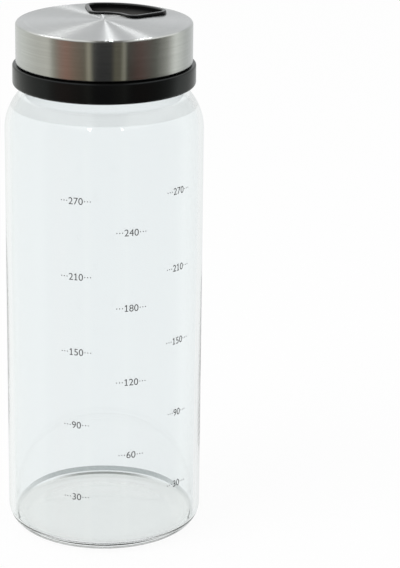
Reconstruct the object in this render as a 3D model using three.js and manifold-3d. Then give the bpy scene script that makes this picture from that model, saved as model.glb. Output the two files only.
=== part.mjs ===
// Glass salt and seasoning shaker with a screw-on rotary lid.
// A steel-clad dial turns over a perforated plate, so its window opens on holes, on a slot or on nothing.
// Millimetres, +Z up. The origin is the centre of the face that the jar stands on. Angles are in degrees.
// The jar is modelled from its base, the lid from the jar's rim and the dial from the rotor's underside.

import * as THREE from "three";
import { mergeVertices } from "three/addons/utils/BufferGeometryUtils.js";
import Module from "manifold-3d";

const wasm = await Module();
wasm.setup();

// Glass jar
const BODY_RADIUS = 30;
const BODY_WALL = 1.5;
const BASE_THICKNESS = 3;
const BASE_CORNER = 6; // outer rounding from the standing ring to the wall
const FLOOR_CORNER = 2; // inner rounding from the floor to the wall
const STANDING_RING = 2.5; // width of the flat ring that the jar stands on
const PUNT_DEPTH = 0.5; // shallow dish inside the standing ring
const SHOULDER_START = 127.2; // height where the straight wall begins to curve in
const SHOULDER_RADIUS = 16;
const NECK_RADIUS = 20.9;
const NECK_WALL = 2;
const NECK_FILLET = 1;
const NECK_HEIGHT = 10.75; // straight neck, from its fillet to its rim
const RIM_CHAMFER = 0.4;

// Screw thread, the same bead on the neck and in the collar
const THREAD_PITCH = 4;
const THREAD_DEPTH = 1.4;
const THREAD_ROOT_WIDTH = 1.9;
const THREAD_CREST_WIDTH = 0.9;
const THREAD_CLEARANCE = 0.5; // from each crest to the wall that it faces
const THREAD_TURNS = 1.25;
const THREAD_RUNOUT = 40; // angle over which a bead fades into its wall
const THREAD_LEAD = 0.3; // from the collar's lower edge to its bead
const THREAD_SINK = 0.5; // how deep a bead is rooted in its wall

// Neck gasket
const GASKET_THICKNESS = 1.2;
const GASKET_CLEARANCE = 0.25; // from the gasket's edge to the collar's bore

// Screw collar
const COLLAR_SHOULDER_GAP = 0.25; // from the jar's shoulder to the collar's lower edge
const BAND_HEIGHT = 6.3;
const BAND_OVERHANG = 1; // the band's reach beyond the steel shell
const BAND_LOWER_ROUND = 0.9;
const BAND_UPPER_ROUND = 0.5;
const HUB_WALL = 1.5;
const SHELF_THICKNESS = 1; // inner shelf that presses the gasket and carries the plate
const RIDGE_HEIGHT = 0.45; // snap ridges on the hub and in the rotor, which hold the dial down
const RIDGE_FLAT = 0.4;
const RIDGE_DROP = 1.2; // from the hub's top edge to its ridge

// Sifter plate
const PLATE_THICKNESS = 1.8;
const PLATE_CLEARANCE = 0.3; // from the plate's edge to the hub
const KEY_COUNT = 3; // lugs that stop the plate from turning in the collar
const KEY_ANGLE = 9;
const KEY_REACH = 0.9;
const KEY_CLEARANCE = 0.2;
const FIELD_HALF_ANGLE = 32;
const FIELD_MARGIN = 1; // plate left between a field and the window's or the mouth's edge
const COARSE_HOLE_RADIUS = 1.5;
const COARSE_BRIDGE = 1.6; // plate left between two coarse holes
const FINE_HOLE_RADIUS = 0.9;
const FINE_BRIDGE = 1.2;
const SLOT_CORNER = 2;
const FIELD_DIRECTIONS = { coarse: 0, slot: 90, fine: 180 }; // a quarter turn apart, the last quarter blank

// Dial seal, a soft ring in a groove of the plate
const SEAL_WIDTH = 0.9;
const SEAL_DEPTH = 0.8; // depth of the groove
const SEAL_PROUD = 0.2; // the ring's height above the plate
const SEAL_EDGE = 0.6; // plate left outside the groove
const SEAL_CLEARANCE = 0.1;

// Dial: a black rotor under a thin steel shell
const RUNNING_GAP = 0.3; // from the plate to the rotor
const ROTOR_DISC = 1.8; // thickness at the disc's edge
const SKIRT_WALL = 0.95;
const SKIRT_CLEARANCE = 0.15; // from each snap ridge to the wall that it faces
const RIDGE_GAP = 0.3; // between the hub's ridge and the rotor's, up and down
const SHELL_THICKNESS = 0.5;
const SHELL_FIT = 0.15; // from the rotor to the shell
const SHELL_INNER_CORNER = 0.25;
const SHELL_DOME = 0.5; // how far the top rises towards its middle
const SHELL_HEM = 0.4; // turned-in lower edge that holds the rotor
const SHELL_BAND_GAP = 0.35; // from the collar's band to the hem

// Window in the dial and its raised bezel
const WINDOW_INNER_RADIUS = 8.8;
const WINDOW_EDGE_MARGIN = 4.2; // steel left between the bezel and the shell's side
const WINDOW_SIDE_ANGLE = 31.5; // slant of each straight side from the window's middle line
const WINDOW_SIDE_OFFSET = 2.05; // how far a side stands outside the radius that it runs along
const WINDOW_CORNER = 2.1;
const BEZEL_WALL = 0.8;
const BEZEL_FLANGE = 0.35; // flange over the cut edge of the steel
const BEZEL_FLANGE_THICKNESS = 0.35;
const BEZEL_PROUD = 0.55; // the rim's height above the middle of the dome
const BEZEL_FIT = 0.15; // from the bezel to the steel and to the rotor

// How the lid sits on the jar: the window's middle line, counted from +X towards +Y
const LID_TURN = 66.2;

// Fineness of the round forms
const ROUND_SEGMENTS = 48;
const ARC_STEPS = 5; // large fillets
const ROUND_STEPS = 2; // small fillets
const DOME_STEPS = 3;
const OUTLINE_SEGMENTS = 4; // half the steps of each arc in a flat outline
const OVERSHOOT = 1; // how far a cut runs past what it cuts

// Radii, from the neck outwards
const mouthRadius = NECK_RADIUS - NECK_WALL;
const collarBore = NECK_RADIUS + THREAD_DEPTH + THREAD_CLEARANCE;
const plateRadius = collarBore - PLATE_CLEARANCE;
const grooveOuter = plateRadius - SEAL_EDGE;
const grooveInner = grooveOuter - SEAL_WIDTH - 2 * SEAL_CLEARANCE;
const hubRadius = collarBore + HUB_WALL;
const hubRidgeRadius = hubRadius + RIDGE_HEIGHT;
const skirtBore = hubRidgeRadius + SKIRT_CLEARANCE;
const skirtRidgeBore = hubRadius + SKIRT_CLEARANCE;
const skirtRadius = skirtBore + SKIRT_WALL;
const shellBore = skirtRadius + SHELL_FIT;
const shellRadius = shellBore + SHELL_THICKNESS;
const domeRadius = shellBore - SHELL_INNER_CORNER;
const bandRadius = shellRadius + BAND_OVERHANG;

// Heights of the jar
const shoulderCentre = BODY_RADIUS - SHOULDER_RADIUS;
const filletReach = NECK_RADIUS + NECK_FILLET - shoulderCentre;
const neckBase = SHOULDER_START + Math.sqrt((SHOULDER_RADIUS + NECK_FILLET) ** 2 - filletReach ** 2);
const rimTop = neckBase + NECK_HEIGHT;
const shoulderAtBore = SHOULDER_START + Math.sqrt(SHOULDER_RADIUS ** 2 - (collarBore - shoulderCentre) ** 2);

// Heights of the lid, from the jar's rim
const shelfTop = GASKET_THICKNESS + SHELF_THICKNESS;
const plateTop = shelfTop + PLATE_THICKNESS;
const grooveFloor = plateTop - SEAL_DEPTH;
const collarBottom = shoulderAtBore + COLLAR_SHOULDER_GAP - rimTop;
const bandTop = collarBottom + BAND_HEIGHT;
const ridgeWidth = RIDGE_FLAT + 2 * RIDGE_HEIGHT;
const hubRidgeTop = plateTop - RIDGE_DROP;
const hubRidgeBottom = hubRidgeTop - ridgeWidth;
const dialBase = plateTop + RUNNING_GAP;
const collarThreadStart = collarBottom + THREAD_LEAD + THREAD_ROOT_WIDTH / 2;
const neckThreadStart = collarThreadStart + THREAD_PITCH / 2;

// Heights of the dial, from the rotor's underside
const skirtRidgeTop = hubRidgeBottom - RIDGE_GAP - dialBase;
const skirtRidgeBottom = skirtRidgeTop - ridgeWidth;
const shellBottom = bandTop + SHELL_BAND_GAP - dialBase;
const hemTop = shellBottom + SHELL_THICKNESS;
const skirtBottom = hemTop + SHELL_FIT;
const shellInnerEdge = ROTOR_DISC + SHELL_FIT;
const shellEdge = shellInnerEdge + SHELL_THICKNESS;
const bezelTop = shellEdge + SHELL_DOME + BEZEL_PROUD;

// Outlines round the window, from its opening outwards
const sleeveOutset = BEZEL_WALL;
const cutOutset = sleeveOutset + BEZEL_FIT;
const flangeOutset = cutOutset + BEZEL_FLANGE;
const windowOuterRadius = shellRadius - WINDOW_EDGE_MARGIN - flangeOutset;

// Fields of the plate
const fieldInner = WINDOW_INNER_RADIUS + FIELD_MARGIN;
const fieldOuter = mouthRadius - FIELD_MARGIN;

const radians = THREE.MathUtils.degToRad;
const degrees = THREE.MathUtils.radToDeg;
const point = (radius, height) => new THREE.Vector2(radius, height);

// Points along an arc of a profile
function arc(centreRadius, centreHeight, radius, fromDegrees, toDegrees, steps) {
  return Array.from({ length: steps + 1 }, (_, i) => {
    const angle = radians(fromDegrees + ((toDegrees - fromDegrees) * i) / steps);
    return point(centreRadius + radius * Math.cos(angle), centreHeight + radius * Math.sin(angle));
  });
}

// Points over a shallow bulge from one radius to another, which rises above its edge towards the middle
function bulge(fromRadius, toRadius, edgeRadius, edgeHeight, rise) {
  return Array.from({ length: DOME_STEPS + 1 }, (_, i) => {
    const radius = fromRadius + ((toRadius - fromRadius) * i) / DOME_STEPS;
    return point(radius, edgeHeight + rise * (1 - (radius / edgeRadius) ** 2));
  });
}

// Points over the dial's top
function dome(fromRadius, toRadius, edgeHeight) {
  return bulge(fromRadius, toRadius, domeRadius, edgeHeight, SHELL_DOME);
}

// Turned piece. Its profile runs anticlockwise, with the radius to the right and +Z up.
function turned(profile) {
  return new THREE.LatheGeometry(profile, ROUND_SEGMENTS).rotateX(Math.PI / 2);
}

function turnedRing(section) {
  return turned([...section, section[0]]);
}

function flatRing(inner, outer, bottom, top) {
  return turnedRing([point(inner, bottom), point(outer, bottom), point(outer, top), point(inner, top)]);
}

function extruded(shape, bottom, top) {
  const settings = { depth: top - bottom, bevelEnabled: false, curveSegments: OUTLINE_SEGMENTS };
  return new THREE.ExtrudeGeometry(shape, settings).translate(0, 0, bottom);
}

// Solid that can be joined and cut, from a closed geometry
function solid(geometry) {
  const bare = geometry.clone();
  bare.deleteAttribute("normal");
  bare.deleteAttribute("uv");
  const merged = mergeVertices(bare);
  const vertProperties = new Float32Array(merged.getAttribute("position").array);
  const triVerts = new Uint32Array(merged.index.array);
  return new wasm.Manifold(new wasm.Mesh({ numProp: 3, vertProperties, triVerts }));
}

function geometryOf(made) {
  const { vertProperties, triVerts } = made.getMesh();
  const geometry = new THREE.BufferGeometry();
  geometry.setAttribute("position", new THREE.BufferAttribute(vertProperties, 3));
  geometry.setIndex(new THREE.BufferAttribute(triVerts, 1));
  return geometry;
}

// Part of a ring about +X with round corners. Its straight sides run along the radii at plus and minus
// sideAngle, moved out by sideOffset. An outset widens the outline all round.
function roundedSector({ inner, outer, sideAngle, sideOffset, corner, outset = 0 }) {
  const side = radians(sideAngle);
  const square = side + Math.PI / 2;
  const round = corner + outset;
  const [far, near] = [outer - corner, inner + corner];
  const [farLean, nearLean] = [far, near].map((reach) => side + Math.asin((sideOffset - corner) / reach));
  const [farX, farY] = [far * Math.cos(farLean), far * Math.sin(farLean)];
  const [nearX, nearY] = [near * Math.cos(nearLean), near * Math.sin(nearLean)];
  return new THREE.Shape()
    .absarc(0, 0, outer + outset, -farLean, farLean, false)
    .absarc(farX, farY, round, farLean, square, false)
    .absarc(nearX, nearY, round, square, nearLean + Math.PI, false)
    .absarc(0, 0, inner - outset, nearLean, -nearLean, true)
    .absarc(nearX, -nearY, round, Math.PI - nearLean, 2 * Math.PI - square, false)
    .absarc(farX, -farY, round, -square, -farLean, false);
}

function windowSolid(outset, bottom, top) {
  const outline = roundedSector({
    inner: WINDOW_INNER_RADIUS,
    outer: windowOuterRadius,
    sideAngle: WINDOW_SIDE_ANGLE,
    sideOffset: WINDOW_SIDE_OFFSET,
    corner: WINDOW_CORNER,
    outset,
  });
  return solid(extruded(outline, bottom, top));
}

// Helical bead on a round wall. Its reach is positive outwards and negative inwards.
function threadBead(wallRadius, reach, startHeight) {
  const steps = Math.round(THREAD_TURNS * ROUND_SEGMENTS);
  const stepAngle = (THREAD_TURNS * 360) / steps;
  const root = wallRadius - Math.sign(reach) * THREAD_SINK;
  const faded = (root + wallRadius) / 2;
  const corners = [];
  for (let i = 0; i <= steps; i += 1) {
    const angle = i * stepAngle;
    const growth = Math.min(1, angle / THREAD_RUNOUT, ((steps - i) * stepAngle) / THREAD_RUNOUT);
    const crest = faded + (wallRadius + reach - faded) * growth;
    const height = startHeight + (THREAD_PITCH * angle) / 360;
    const section = [
      [root, height - THREAD_ROOT_WIDTH / 2],
      [crest, height - THREAD_CREST_WIDTH / 2],
      [crest, height + THREAD_CREST_WIDTH / 2],
      [root, height + THREAD_ROOT_WIDTH / 2],
    ];
    if (reach < 0) section.reverse();
    corners.push(...section.map(([radius, z]) => [...polar(radius, angle), z]));
  }
  const faces = [[0, 1, 2, 3], [3, 2, 1, 0].map((corner) => corner + 4 * steps)];
  for (let i = 0; i < steps; i += 1) {
    for (let side = 0; side < 4; side += 1) {
      const [a, b] = [4 * i + side, 4 * i + ((side + 1) % 4)];
      faces.push([a, a + 4, b + 4, b]);
    }
  }
  const geometry = new THREE.BufferGeometry();
  geometry.setAttribute("position", new THREE.Float32BufferAttribute(corners.flat(), 3));
  geometry.setIndex(faces.flatMap(([a, b, c, d]) => [a, b, c, a, c, d]));
  return geometry;
}

function polar(radius, angle) {
  return [radius * Math.cos(radians(angle)), radius * Math.sin(radians(angle))];
}

function glassJar() {
  const innerRadius = BODY_RADIUS - BODY_WALL;
  const innerShoulder = SHOULDER_RADIUS - BODY_WALL;
  const innerLean = degrees(Math.acos((mouthRadius - shoulderCentre) / innerShoulder));
  const filletLean = degrees(Math.atan2(neckBase - SHOULDER_START, filletReach));
  const puntRadius = BODY_RADIUS - BASE_CORNER - STANDING_RING;
  const floorRadius = innerRadius - FLOOR_CORNER;
  const profile = [
    ...bulge(0, puntRadius, puntRadius, 0, PUNT_DEPTH),
    ...arc(BODY_RADIUS - BASE_CORNER, BASE_CORNER, BASE_CORNER, -90, 0, ARC_STEPS),
    ...arc(shoulderCentre, SHOULDER_START, SHOULDER_RADIUS, 0, filletLean, ARC_STEPS),
    ...arc(NECK_RADIUS + NECK_FILLET, neckBase, NECK_FILLET, 180 + filletLean, 180, ROUND_STEPS),
    point(NECK_RADIUS, rimTop - RIM_CHAMFER),
    point(NECK_RADIUS - RIM_CHAMFER, rimTop),
    point(mouthRadius + RIM_CHAMFER, rimTop),
    point(mouthRadius, rimTop - RIM_CHAMFER),
    ...arc(shoulderCentre, SHOULDER_START, innerShoulder, innerLean, 0, ARC_STEPS),
    ...arc(floorRadius, BASE_THICKNESS + FLOOR_CORNER, FLOOR_CORNER, 0, -90, ROUND_STEPS),
    point(0, BASE_THICKNESS),
  ];
  const bead = threadBead(NECK_RADIUS, THREAD_DEPTH, rimTop + neckThreadStart).rotateZ(radians(LID_TURN));
  return geometryOf(solid(turned(profile)).add(solid(bead)));
}

function screwCollar() {
  const lowerRound = [bandRadius - BAND_LOWER_ROUND, collarBottom + BAND_LOWER_ROUND, BAND_LOWER_ROUND];
  const upperRound = [bandRadius - BAND_UPPER_ROUND, bandTop - BAND_UPPER_ROUND, BAND_UPPER_ROUND];
  const section = [
    point(collarBore, collarBottom),
    ...arc(...lowerRound, -90, 0, ROUND_STEPS),
    ...arc(...upperRound, 0, 90, ROUND_STEPS),
    point(hubRadius, bandTop),
    point(hubRadius, hubRidgeBottom),
    point(hubRidgeRadius, hubRidgeBottom + RIDGE_HEIGHT),
    point(hubRidgeRadius, hubRidgeTop - RIDGE_HEIGHT),
    point(hubRadius, hubRidgeTop),
    point(hubRadius, plateTop),
    point(collarBore, plateTop),
    point(collarBore, shelfTop),
    point(mouthRadius, shelfTop),
    point(mouthRadius, GASKET_THICKNESS),
    point(collarBore, GASKET_THICKNESS),
  ];
  const keyway = sifterOutline(KEY_CLEARANCE);
  return geometryOf(
    solid(turnedRing(section))
      .add(solid(threadBead(collarBore, -THREAD_DEPTH, collarThreadStart)))
      .subtract(solid(extruded(keyway, shelfTop, plateTop + OVERSHOOT))),
  );
}

// Round outline of the plate with its lugs, grown by a clearance for the keyway in the hub
function sifterOutline(clearance) {
  const halfKey = KEY_ANGLE / 2 + degrees(clearance / plateRadius);
  const outline = new THREE.Shape();
  for (let i = 0; i < KEY_COUNT; i += 1) {
    const middle = (360 * i) / KEY_COUNT;
    const [from, to] = [middle - halfKey, middle + halfKey].map(radians);
    const next = radians(middle + 360 / KEY_COUNT - halfKey);
    outline.absarc(0, 0, plateRadius + KEY_REACH + clearance, from, to, false);
    outline.absarc(0, 0, plateRadius, to, next, false);
  }
  return outline;
}

// Holes in rows along arcs, about the given direction
function holeField(holeRadius, bridge, direction) {
  const spacing = 2 * holeRadius + bridge;
  const holes = [];
  for (let row = fieldInner + holeRadius; row <= fieldOuter - holeRadius; row += spacing) {
    const stepAngle = degrees(spacing / row);
    const gaps = Math.floor((2 * (FIELD_HALF_ANGLE - degrees(holeRadius / row))) / stepAngle);
    for (let i = 0; i <= gaps; i += 1) {
      const centre = polar(row, direction + (i - gaps / 2) * stepAngle);
      holes.push(new THREE.Path().absarc(...centre, holeRadius, 0, 2 * Math.PI, false));
    }
  }
  return holes;
}

function sifterPlate() {
  const outline = sifterOutline(0);
  outline.holes.push(...holeField(COARSE_HOLE_RADIUS, COARSE_BRIDGE, FIELD_DIRECTIONS.coarse));
  outline.holes.push(...holeField(FINE_HOLE_RADIUS, FINE_BRIDGE, FIELD_DIRECTIONS.fine));
  const slotOutline = roundedSector({
    inner: fieldInner,
    outer: fieldOuter,
    sideAngle: FIELD_HALF_ANGLE,
    sideOffset: 0,
    corner: SLOT_CORNER,
  });
  const slot = extruded(slotOutline, shelfTop - OVERSHOOT, plateTop + OVERSHOOT);
  slot.rotateZ(radians(FIELD_DIRECTIONS.slot));
  const groove = flatRing(grooveInner, grooveOuter, grooveFloor, plateTop + OVERSHOOT);
  const disc = extruded(outline, shelfTop, plateTop);
  return geometryOf(solid(disc).subtract(solid(slot)).subtract(solid(groove)));
}

function rotorCap() {
  const edgeRound = skirtRadius - domeRadius;
  const profile = [
    point(0, 0),
    point(skirtBore, 0),
    point(skirtBore, skirtRidgeTop),
    point(skirtRidgeBore, skirtRidgeTop - RIDGE_HEIGHT),
    point(skirtRidgeBore, skirtRidgeBottom + RIDGE_HEIGHT),
    point(skirtBore, skirtRidgeBottom),
    point(skirtBore, skirtBottom),
    point(skirtRadius, skirtBottom),
    ...arc(domeRadius, ROTOR_DISC - edgeRound, edgeRound, 0, 90, ROUND_STEPS).slice(0, -1),
    ...dome(domeRadius, 0, ROTOR_DISC),
  ];
  return geometryOf(solid(turned(profile)).subtract(windowSolid(cutOutset, -OVERSHOOT, bezelTop)));
}

function steelShell() {
  const outerCorner = SHELL_INNER_CORNER + SHELL_THICKNESS;
  const cornerHeight = shellInnerEdge - SHELL_INNER_CORNER;
  const hemRadius = shellBore - SHELL_HEM;
  const profile = [
    ...dome(0, domeRadius, shellInnerEdge),
    ...arc(domeRadius, cornerHeight, SHELL_INNER_CORNER, 90, 0, ROUND_STEPS).slice(1),
    point(shellBore, hemTop),
    point(hemRadius, hemTop),
    point(hemRadius, shellBottom),
    ...arc(shellBore, hemTop, SHELL_THICKNESS, -90, 0, ROUND_STEPS),
    ...arc(domeRadius, cornerHeight, outerCorner, 0, 90, ROUND_STEPS).slice(0, -1),
    ...dome(domeRadius, 0, shellEdge),
  ];
  return geometryOf(solid(turned(profile)).subtract(windowSolid(cutOutset, 0, bezelTop)));
}

// Everything up to a given height above the steel's top
function belowDome(rise) {
  const profile = [point(0, 0), point(domeRadius, 0), ...dome(domeRadius, 0, shellEdge + rise)];
  return solid(turned(profile));
}

function windowBezel() {
  const flange = windowSolid(flangeOutset, ROTOR_DISC, bezelTop)
    .intersect(belowDome(BEZEL_FIT + BEZEL_FLANGE_THICKNESS))
    .subtract(belowDome(BEZEL_FIT));
  const sleeve = windowSolid(sleeveOutset, 0, bezelTop);
  const opening = windowSolid(0, -OVERSHOOT, bezelTop + OVERSHOOT);
  return geometryOf(flange.add(sleeve).subtract(opening));
}

const clearGlass = { color: 0xe9eeee, roughness: 0.03, metalness: 0, transparent: true, opacity: 0.3 };
const brushedSteel = { color: 0xb9bab7, roughness: 0.32, metalness: 1 };
const blackPlastic = { color: 0x17181a, roughness: 0.38, metalness: 0 };
const whiteSilicone = { color: 0xe6e6e0, roughness: 0.6, metalness: 0 };

function piece(name, geometry, look) {
  const mesh = new THREE.Mesh(geometry, new THREE.MeshStandardMaterial(look));
  mesh.name = name;
  return mesh;
}

const gasketRing = flatRing(mouthRadius, collarBore - GASKET_CLEARANCE, 0, GASKET_THICKNESS);
const sealInner = grooveInner + SEAL_CLEARANCE;
const sealRing = flatRing(sealInner, sealInner + SEAL_WIDTH, grooveFloor, plateTop + SEAL_PROUD);

const dial = new THREE.Group().add(
  piece("rotor_cap", rotorCap(), blackPlastic),
  piece("steel_shell", steelShell(), brushedSteel),
  piece("window_bezel", windowBezel(), blackPlastic),
);
dial.position.z = dialBase;

const lid = new THREE.Group().add(
  piece("neck_gasket", gasketRing, whiteSilicone),
  piece("screw_collar", screwCollar(), blackPlastic),
  piece("sifter_plate", sifterPlate(), blackPlastic),
  piece("dial_seal", sealRing, whiteSilicone),
  dial,
);
lid.position.z = rimTop;
lid.rotation.z = radians(LID_TURN);

const shaker = new THREE.Group().add(piece("glass_jar", glassJar(), clearGlass), lid);

export default shaker;
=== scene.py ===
# %% [markdown]
# # A glass seasoning shaker with a rotary lid
# A straight glass jar carries a printed volume scale. A black collar screws onto its neck, and a dial
# clad in brushed steel turns on the collar, so that the dial's window opens on holes, a slot or nothing.
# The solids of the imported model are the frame: every piece below is made where its solid already is,
# and rides on the same body, so that the lid still unscrews and the dial still turns.

# %% Load the frame
import math

import bpy
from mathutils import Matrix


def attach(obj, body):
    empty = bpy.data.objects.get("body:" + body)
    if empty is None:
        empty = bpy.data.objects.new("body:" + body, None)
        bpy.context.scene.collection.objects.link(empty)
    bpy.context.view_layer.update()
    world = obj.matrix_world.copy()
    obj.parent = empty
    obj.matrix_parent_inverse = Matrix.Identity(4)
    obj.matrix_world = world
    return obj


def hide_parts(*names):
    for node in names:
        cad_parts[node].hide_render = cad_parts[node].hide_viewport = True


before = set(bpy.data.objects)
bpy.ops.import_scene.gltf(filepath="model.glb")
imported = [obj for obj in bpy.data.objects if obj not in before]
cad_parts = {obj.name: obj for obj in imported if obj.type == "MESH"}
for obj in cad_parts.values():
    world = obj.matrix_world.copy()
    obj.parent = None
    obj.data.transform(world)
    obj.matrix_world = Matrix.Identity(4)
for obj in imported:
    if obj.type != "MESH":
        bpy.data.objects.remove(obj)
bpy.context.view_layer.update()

# %% [markdown]
# ## The camera
# The picture was taken with a long lens from a little above the lid, so the jar hardly narrows towards
# its foot. The jar stands left of the middle of the picture. Turning the camera would bring it there too,
# but a sideways shift of the lens keeps the two sides of the jar alike.

# %% Camera
CAMERA_PLACE = (0, -0.7273, 0.3188)
CAMERA_DIP = 18.36
LENS_LENGTH = 157.95
LENS_SHIFT = 0.16866
bpy.ops.object.camera_add(location=CAMERA_PLACE, rotation=(math.radians(90 - CAMERA_DIP), 0, 0))
camera = bpy.context.object
camera.name = "picture_view"
camera.data.lens = LENS_LENGTH
camera.data.shift_x = LENS_SHIFT
bpy.context.scene.camera = camera
print("camera looks down by", CAMERA_DIP, "degrees through a lens of", LENS_LENGTH, "mm")

# %% [markdown]
# ## Drawing a line and turning it
# Nearly every piece of the shaker is round, so most of the modelling is like work on a lathe: half of
# the outline is drawn as a chain of points, each extruded from the last, and then spun about the jar's
# axis. A stack of scaled circles would also do, but the drawn outline keeps every radius and height exact.
# Spin leaves a seam and a bunch of points on the axis, so doubles are merged before the normals are set.
# Blender measures in metres, and the sizes of the pieces are written in millimetres.

# %% Helpers for drawn and turned pieces
MM = 0.001
MERGE_GAP = 0.002
CREASE = 35
TURN_STEPS = 160


def mm(*lengths):
    """Lengths given in millimetres, in metres."""
    return [length * MM for length in lengths]


def start_clean():
    """Deselects everything, so that an operator acts on the new piece alone."""
    bpy.ops.object.select_all(action="DESELECT")


def drawn(name, points):
    """A chain of extruded points, given in millimetres, left open in edit mode."""
    start_clean()
    bpy.ops.mesh.primitive_plane_add(size=MM, location=mm(*points[0]))
    piece = bpy.context.object
    piece.name = name
    bpy.ops.object.mode_set(mode="EDIT")
    bpy.ops.mesh.merge(type="CENTER")
    for here, there in zip(points, points[1:]):
        step = [(b - a) * MM for a, b in zip(here, there)]
        bpy.ops.mesh.extrude_vertices_move(TRANSFORM_OT_translate={"value": step})
    bpy.ops.mesh.select_all(action="SELECT")
    return piece


def face_out(merge_gap=None):
    """In edit mode, merges points within a gap, if one is given, and turns all faces outwards."""
    bpy.ops.mesh.select_all(action="SELECT")
    if merge_gap:
        bpy.ops.mesh.remove_doubles(threshold=merge_gap * MM)
    bpy.ops.mesh.normals_make_consistent(inside=False)


def smoothed(piece, crease=CREASE):
    """Shades the selected piece smooth, apart from edges sharper than an angle in degrees."""
    bpy.ops.object.shade_smooth_by_angle(angle=math.radians(crease))
    return piece


def settled(piece, crease=CREASE):
    """Leaves edit mode, puts the piece's place in its mesh and smooths all but its sharp edges."""
    bpy.ops.object.mode_set(mode="OBJECT")
    bpy.ops.object.transform_apply(location=True, rotation=True, scale=True)
    return smoothed(piece, crease)


def turned(name, outline, steps=TURN_STEPS, crease=CREASE):
    """Spins an outline of radii and heights, in millimetres, about the jar's axis."""
    piece = drawn(name, [(radius, 0, height) for radius, height in outline])
    bpy.ops.mesh.spin(steps=steps, angle=math.tau, center=(0, 0, 0), axis=(0, 0, 1))
    face_out(MERGE_GAP)
    return settled(piece, crease)


def arc(centre, radius, start, end, steps):
    """Points along a round of an outline, with angles in degrees."""
    angles = [math.radians(start + (end - start) * i / steps) for i in range(steps + 1)]
    return [(centre[0] + radius * math.cos(a), centre[1] + radius * math.sin(a)) for a in angles]


print("a quarter round in 6 steps has", len(arc((0, 0), 1, 0, 90, steps=6)), "points")

# %% [markdown]
# ## The screw thread
# The neck and the collar hold each other by one raised bead of little more than a turn. It is drawn as a
# small trapezium, wound up by a Screw modifier and closed at its ends, and its ends are then sunk into the
# wall, as a moulded thread runs out. A spiral extruded section by section would take far more code.

# %% Thread bead
THREAD_PITCH = 4
THREAD_TURNS = 1.25
THREAD_STEPS = 120
THREAD_REACH = 1.4
THREAD_SINK = 0.5
THREAD_HALF_FOOT = 0.95
THREAD_HALF_CREST = 0.45
THREAD_RUNOUT = 40
ON_CREST = 0.1
OUTWARDS, INWARDS = 1, -1
LID_TURN = 66.2


def with_modifier(piece, kind, **settings):
    """Adds a modifier and applies it."""
    start_clean()
    piece.select_set(True)
    bpy.context.view_layer.objects.active = piece
    modifier = piece.modifiers.new(kind.lower(), kind)
    for name, value in settings.items():
        setattr(modifier, name, value)
    bpy.ops.object.modifier_apply(modifier=modifier.name)
    return piece


def sink_ends(bead, wall, side, start):
    """Lets the crest run out into the wall at both ends, and turns the bead to the lid's place."""
    crest = wall + side * THREAD_REACH
    faded = wall - side * THREAD_SINK / 2
    sweep = THREAD_TURNS * 360
    for vertex in bead.data.vertices:
        radius = math.hypot(vertex.co.x, vertex.co.y) / MM
        angle = math.degrees(math.atan2(vertex.co.y, vertex.co.x)) % 360
        risen = (vertex.co.z / MM - start) / THREAD_PITCH * 360
        angle += 360 * round((risen - angle) / 360)
        growth = max(0, min(1, angle / THREAD_RUNOUT, (sweep - angle) / THREAD_RUNOUT))
        if abs(radius - crest) < ON_CREST:
            radius = faded + (crest - faded) * growth
        place = math.radians(angle + LID_TURN)
        vertex.co.x = radius * MM * math.cos(place)
        vertex.co.y = radius * MM * math.sin(place)


def thread_bead(name, wall, side, start):
    """A bead on a wall of that radius, reaching outwards or inwards, from a height at its start."""
    root = wall - side * THREAD_SINK
    crest = wall + side * THREAD_REACH
    section = [
        (root, start - THREAD_HALF_FOOT),
        (crest, start - THREAD_HALF_CREST),
        (crest, start + THREAD_HALF_CREST),
        (root, start + THREAD_HALF_FOOT),
    ]
    bead = drawn(name, [(radius, 0, height) for radius, height in section])
    bpy.ops.mesh.edge_face_add()
    bpy.ops.mesh.delete(type="ONLY_FACE")
    settled(bead)
    with_modifier(
        bead, "SCREW", axis="Z", angle=THREAD_TURNS * math.tau, steps=THREAD_STEPS,
        render_steps=THREAD_STEPS, screw_offset=THREAD_TURNS * THREAD_PITCH * MM, use_merge_vertices=False,
    )
    sink_ends(bead, wall, side, start)
    bpy.ops.object.mode_set(mode="EDIT")
    bpy.ops.mesh.select_all(action="DESELECT")
    bpy.ops.mesh.select_non_manifold(
        extend=False, use_wire=False, use_multi_face=False, use_non_contiguous=False, use_verts=False,
    )
    bpy.ops.mesh.fill_holes(sides=len(section))
    face_out()
    return settled(bead)


print("the thread rises", THREAD_TURNS * THREAD_PITCH, "mm in", THREAD_TURNS, "turns")

# %% [markdown]
# ## The glass jar
# The jar is thin clear glass: a straight wall, a shoulder that curves in to the neck, and a thicker base
# with a soft outer corner and a shallow hollow, so that it stands on a ring. A single skin with a Solidify
# modifier would make the base as thin as the wall. Light bends at both faces of the glass, so the outline
# goes all the way round, up the outside and down the inside, as one closed skin.

# %% Jar
JAR_STEPS = 192
SOFT_CREASE = 50
BODY_RADIUS = 30
BODY_WALL = 1.5
BASE_ROUND = 6
HOLLOW_RADIUS = 21.5
HOLLOW_DEPTH = 0.5
HOLLOW_RINGS = (0, 3, 6, 9, 12, 15, 18, 20, HOLLOW_RADIUS)
FLOOR_TOP = 3
FLOOR_ROUND = 2
SHOULDER_START = 127.2
SHOULDER_CENTRE = 14
SHOULDER_ROUND = BODY_RADIUS - SHOULDER_CENTRE
NECK_RADIUS = 20.9
NECK_FILLET = 1
NECK_HEIGHT = 10.75
NECK_BEAD_START = 144.06
MOUTH_RADIUS = 18.9
RIM_ROUND = 0.6


def combined(piece, tool, operation):
    """Cuts or adds a tool piece, and removes the tool."""
    with_modifier(piece, "BOOLEAN", operation=operation, object=tool, solver="EXACT")
    bpy.data.objects.remove(tool)
    return smoothed(piece)


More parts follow.
